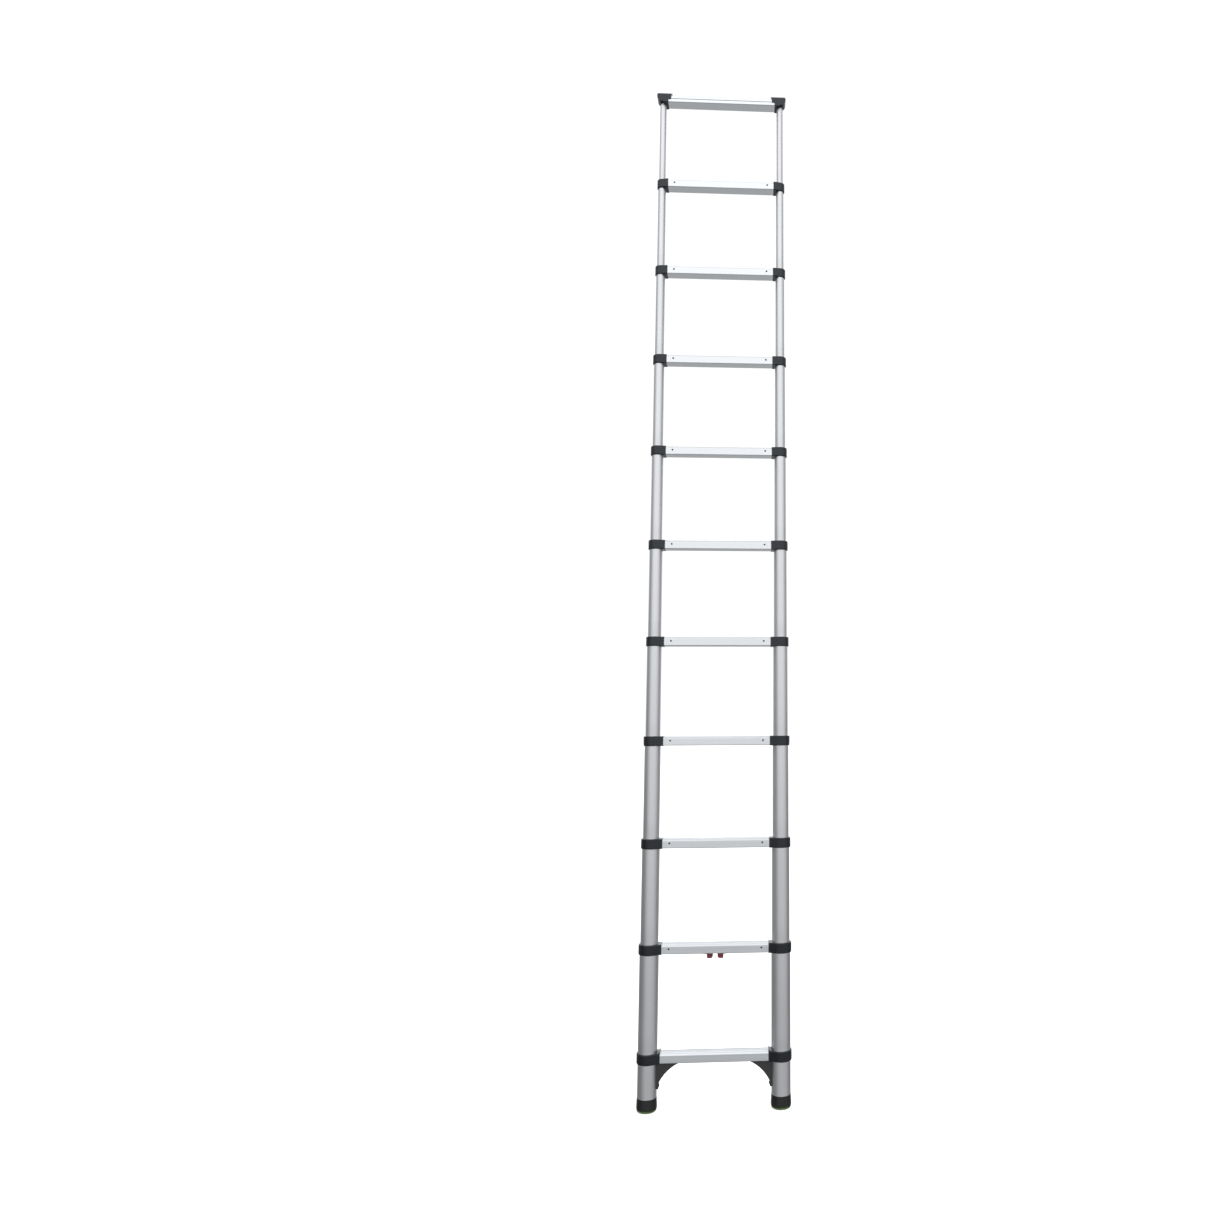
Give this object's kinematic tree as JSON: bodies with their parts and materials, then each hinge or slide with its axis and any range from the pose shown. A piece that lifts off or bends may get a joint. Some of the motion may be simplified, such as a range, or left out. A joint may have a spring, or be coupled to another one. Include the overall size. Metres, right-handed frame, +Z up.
{
  "type": "telescopic extension ladder",
  "caption": "Telescopic aluminium ladder: nested round tubes, flat grooved rungs, black collars with spring locks, red release tabs and rubber feet.",
  "frame": {"origin": "On the floor, midway between the two feet, in the plane of the stile axes.", "axes": "+Z up along the stiles, +X across the ladder from the left stile to the right, +Y from the climber's side to the wall side."},
  "size_m": [0.455, 0.064, 3.2215],
  "materials": {
    "tube_aluminium": "satin clear-anodised drawn tube",
    "rung_aluminium": "satin extruded profile with a grooved tread",
    "collar_plastic": "black moulded nylon with a fine spark texture",
    "cap_plastic": "black moulded nylon with a fine spark texture",
    "boot_plastic": "black moulded nylon",
    "brace_plastic": "black moulded nylon",
    "sole_rubber": "dark green moulded rubber",
    "tab_plastic": "dark red moulded plastic",
    "screw_steel": "blackened steel",
    "pin_steel": "zinc-plated steel",
    "spring_steel": "spring steel"
  },
  "bodies": {
    "base": {"base_stiles": "tube_aluminium", "foot_boots": "boot_plastic", "foot_soles": "sole_rubber", "rung_01": "rung_aluminium", "collars_01": "collar_plastic", "rung_01_braces": "brace_plastic", "brace_screws": "screw_steel", "rung_02": "rung_aluminium", "collars_02": "collar_plastic", "release_springs": "spring_steel"},
    "left_release": {"left_lock_pin_02": "pin_steel", "left_release_tab": "tab_plastic"},
    "right_release": {"right_lock_pin_02": "pin_steel", "right_release_tab": "tab_plastic"},
    "section_03": {"stiles_03": "tube_aluminium", "collars_03": "collar_plastic", "rung_03": "rung_aluminium"},
    "section_04": {"stiles_04": "tube_aluminium", "collars_04": "collar_plastic", "rung_04": "rung_aluminium"},
    "section_05": {"stiles_05": "tube_aluminium", "collars_05": "collar_plastic", "rung_05": "rung_aluminium"},
    "section_06": {"stiles_06": "tube_aluminium", "collars_06": "collar_plastic", "rung_06": "rung_aluminium"},
    "section_07": {"stiles_07": "tube_aluminium", "collars_07": "collar_plastic", "rung_07": "rung_aluminium"},
    "section_08": {"stiles_08": "tube_aluminium", "collars_08": "collar_plastic", "rung_08": "rung_aluminium"},
    "section_09": {"stiles_09": "tube_aluminium", "collars_09": "collar_plastic", "rung_09": "rung_aluminium"},
    "section_10": {"stiles_10": "tube_aluminium", "collars_10": "collar_plastic", "rung_10": "rung_aluminium"},
    "section_11": {"stiles_11": "tube_aluminium", "end_caps": "cap_plastic", "rung_11": "rung_aluminium"},
    "left_lock_03": {"left_lock_pin_03": "pin_steel"},
    "right_lock_03": {"right_lock_pin_03": "pin_steel"},
    "left_lock_04": {"left_lock_pin_04": "pin_steel"},
    "right_lock_04": {"right_lock_pin_04": "pin_steel"},
    "left_lock_05": {"left_lock_pin_05": "pin_steel"},
    "right_lock_05": {"right_lock_pin_05": "pin_steel"},
    "left_lock_06": {"left_lock_pin_06": "pin_steel"},
    "right_lock_06": {"right_lock_pin_06": "pin_steel"},
    "left_lock_07": {"left_lock_pin_07": "pin_steel"},
    "right_lock_07": {"right_lock_pin_07": "pin_steel"},
    "left_lock_08": {"left_lock_pin_08": "pin_steel"},
    "right_lock_08": {"right_lock_pin_08": "pin_steel"},
    "left_lock_09": {"left_lock_pin_09": "pin_steel"},
    "right_lock_09": {"right_lock_pin_09": "pin_steel"},
    "left_lock_10": {"left_lock_pin_10": "pin_steel"},
    "right_lock_10": {"right_lock_pin_10": "pin_steel"}
  },
  "joints": [
    {"name": "button_left", "type": "slide", "parent": "base", "child": "left_release", "axis": [-1, 0, 0], "range_m": [0, 0.0055], "stiffness_N_per_m": 300, "springref_m": 0.0075},
    {"name": "button_right", "type": "slide", "parent": "base", "child": "right_release", "axis": [1, 0, 0], "range_m": [0, 0.0055], "stiffness_N_per_m": 300, "springref_m": 0.0075},
    {"name": "extend_section_03", "type": "slide", "parent": "base", "child": "section_03", "axis": [0, 0, 1], "range_m": [-0.275, 0]},
    {"name": "extend_section_04", "type": "slide", "parent": "section_03", "child": "section_04", "axis": [0, 0, 1], "range_m": [-0.275, 0]},
    {"name": "extend_section_05", "type": "slide", "parent": "section_04", "child": "section_05", "axis": [0, 0, 1], "range_m": [-0.275, 0]},
    {"name": "extend_section_06", "type": "slide", "parent": "section_05", "child": "section_06", "axis": [0, 0, 1], "range_m": [-0.275, 0]},
    {"name": "extend_section_07", "type": "slide", "parent": "section_06", "child": "section_07", "axis": [0, 0, 1], "range_m": [-0.275, 0]},
    {"name": "extend_section_08", "type": "slide", "parent": "section_07", "child": "section_08", "axis": [0, 0, 1], "range_m": [-0.275, 0]},
    {"name": "extend_section_09", "type": "slide", "parent": "section_08", "child": "section_09", "axis": [0, 0, 1], "range_m": [-0.275, 0]},
    {"name": "extend_section_10", "type": "slide", "parent": "section_09", "child": "section_10", "axis": [0, 0, 1], "range_m": [-0.275, 0]},
    {"name": "extend_section_11", "type": "slide", "parent": "section_10", "child": "section_11", "axis": [0, 0, 1], "range_m": [-0.275, 0]},
    {"name": "lock_pin_left_03", "type": "slide", "parent": "section_03", "child": "left_lock_03", "axis": [-1, 0, 0], "range_m": [0, 0.0055], "stiffness_N_per_m": 300, "springref_m": 0.0075},
    {"name": "lock_pin_right_03", "type": "slide", "parent": "section_03", "child": "right_lock_03", "axis": [1, 0, 0], "range_m": [0, 0.0055], "stiffness_N_per_m": 300, "springref_m": 0.0075},
    {"name": "lock_pin_left_04", "type": "slide", "parent": "section_04", "child": "left_lock_04", "axis": [-1, 0, 0], "range_m": [0, 0.0055], "stiffness_N_per_m": 300, "springref_m": 0.0075},
    {"name": "lock_pin_right_04", "type": "slide", "parent": "section_04", "child": "right_lock_04", "axis": [1, 0, 0], "range_m": [0, 0.0055], "stiffness_N_per_m": 300, "springref_m": 0.0075},
    {"name": "lock_pin_left_05", "type": "slide", "parent": "section_05", "child": "left_lock_05", "axis": [-1, 0, 0], "range_m": [0, 0.0055], "stiffness_N_per_m": 300, "springref_m": 0.0075},
    {"name": "lock_pin_right_05", "type": "slide", "parent": "section_05", "child": "right_lock_05", "axis": [1, 0, 0], "range_m": [0, 0.0055], "stiffness_N_per_m": 300, "springref_m": 0.0075},
    {"name": "lock_pin_left_06", "type": "slide", "parent": "section_06", "child": "left_lock_06", "axis": [-1, 0, 0], "range_m": [0, 0.0055], "stiffness_N_per_m": 300, "springref_m": 0.0075},
    {"name": "lock_pin_right_06", "type": "slide", "parent": "section_06", "child": "right_lock_06", "axis": [1, 0, 0], "range_m": [0, 0.0055], "stiffness_N_per_m": 300, "springref_m": 0.0075},
    {"name": "lock_pin_left_07", "type": "slide", "parent": "section_07", "child": "left_lock_07", "axis": [-1, 0, 0], "range_m": [0, 0.0055], "stiffness_N_per_m": 300, "springref_m": 0.0075},
    {"name": "lock_pin_right_07", "type": "slide", "parent": "section_07", "child": "right_lock_07", "axis": [1, 0, 0], "range_m": [0, 0.0055], "stiffness_N_per_m": 300, "springref_m": 0.0075},
    {"name": "lock_pin_left_08", "type": "slide", "parent": "section_08", "child": "left_lock_08", "axis": [-1, 0, 0], "range_m": [0, 0.0055], "stiffness_N_per_m": 300, "springref_m": 0.0075},
    {"name": "lock_pin_right_08", "type": "slide", "parent": "section_08", "child": "right_lock_08", "axis": [1, 0, 0], "range_m": [0, 0.0055], "stiffness_N_per_m": 300, "springref_m": 0.0075},
    {"name": "lock_pin_left_09", "type": "slide", "parent": "section_09", "child": "left_lock_09", "axis": [-1, 0, 0], "range_m": [0, 0.0055], "stiffness_N_per_m": 300, "springref_m": 0.0075},
    {"name": "lock_pin_right_09", "type": "slide", "parent": "section_09", "child": "right_lock_09", "axis": [1, 0, 0], "range_m": [0, 0.0055], "stiffness_N_per_m": 300, "springref_m": 0.0075},
    {"name": "lock_pin_left_10", "type": "slide", "parent": "section_10", "child": "left_lock_10", "axis": [-1, 0, 0], "range_m": [0, 0.0055], "stiffness_N_per_m": 300, "springref_m": 0.0075},
    {"name": "lock_pin_right_10", "type": "slide", "parent": "section_10", "child": "right_lock_10", "axis": [1, 0, 0], "range_m": [0, 0.0055], "stiffness_N_per_m": 300, "springref_m": 0.0075}
  ]
}
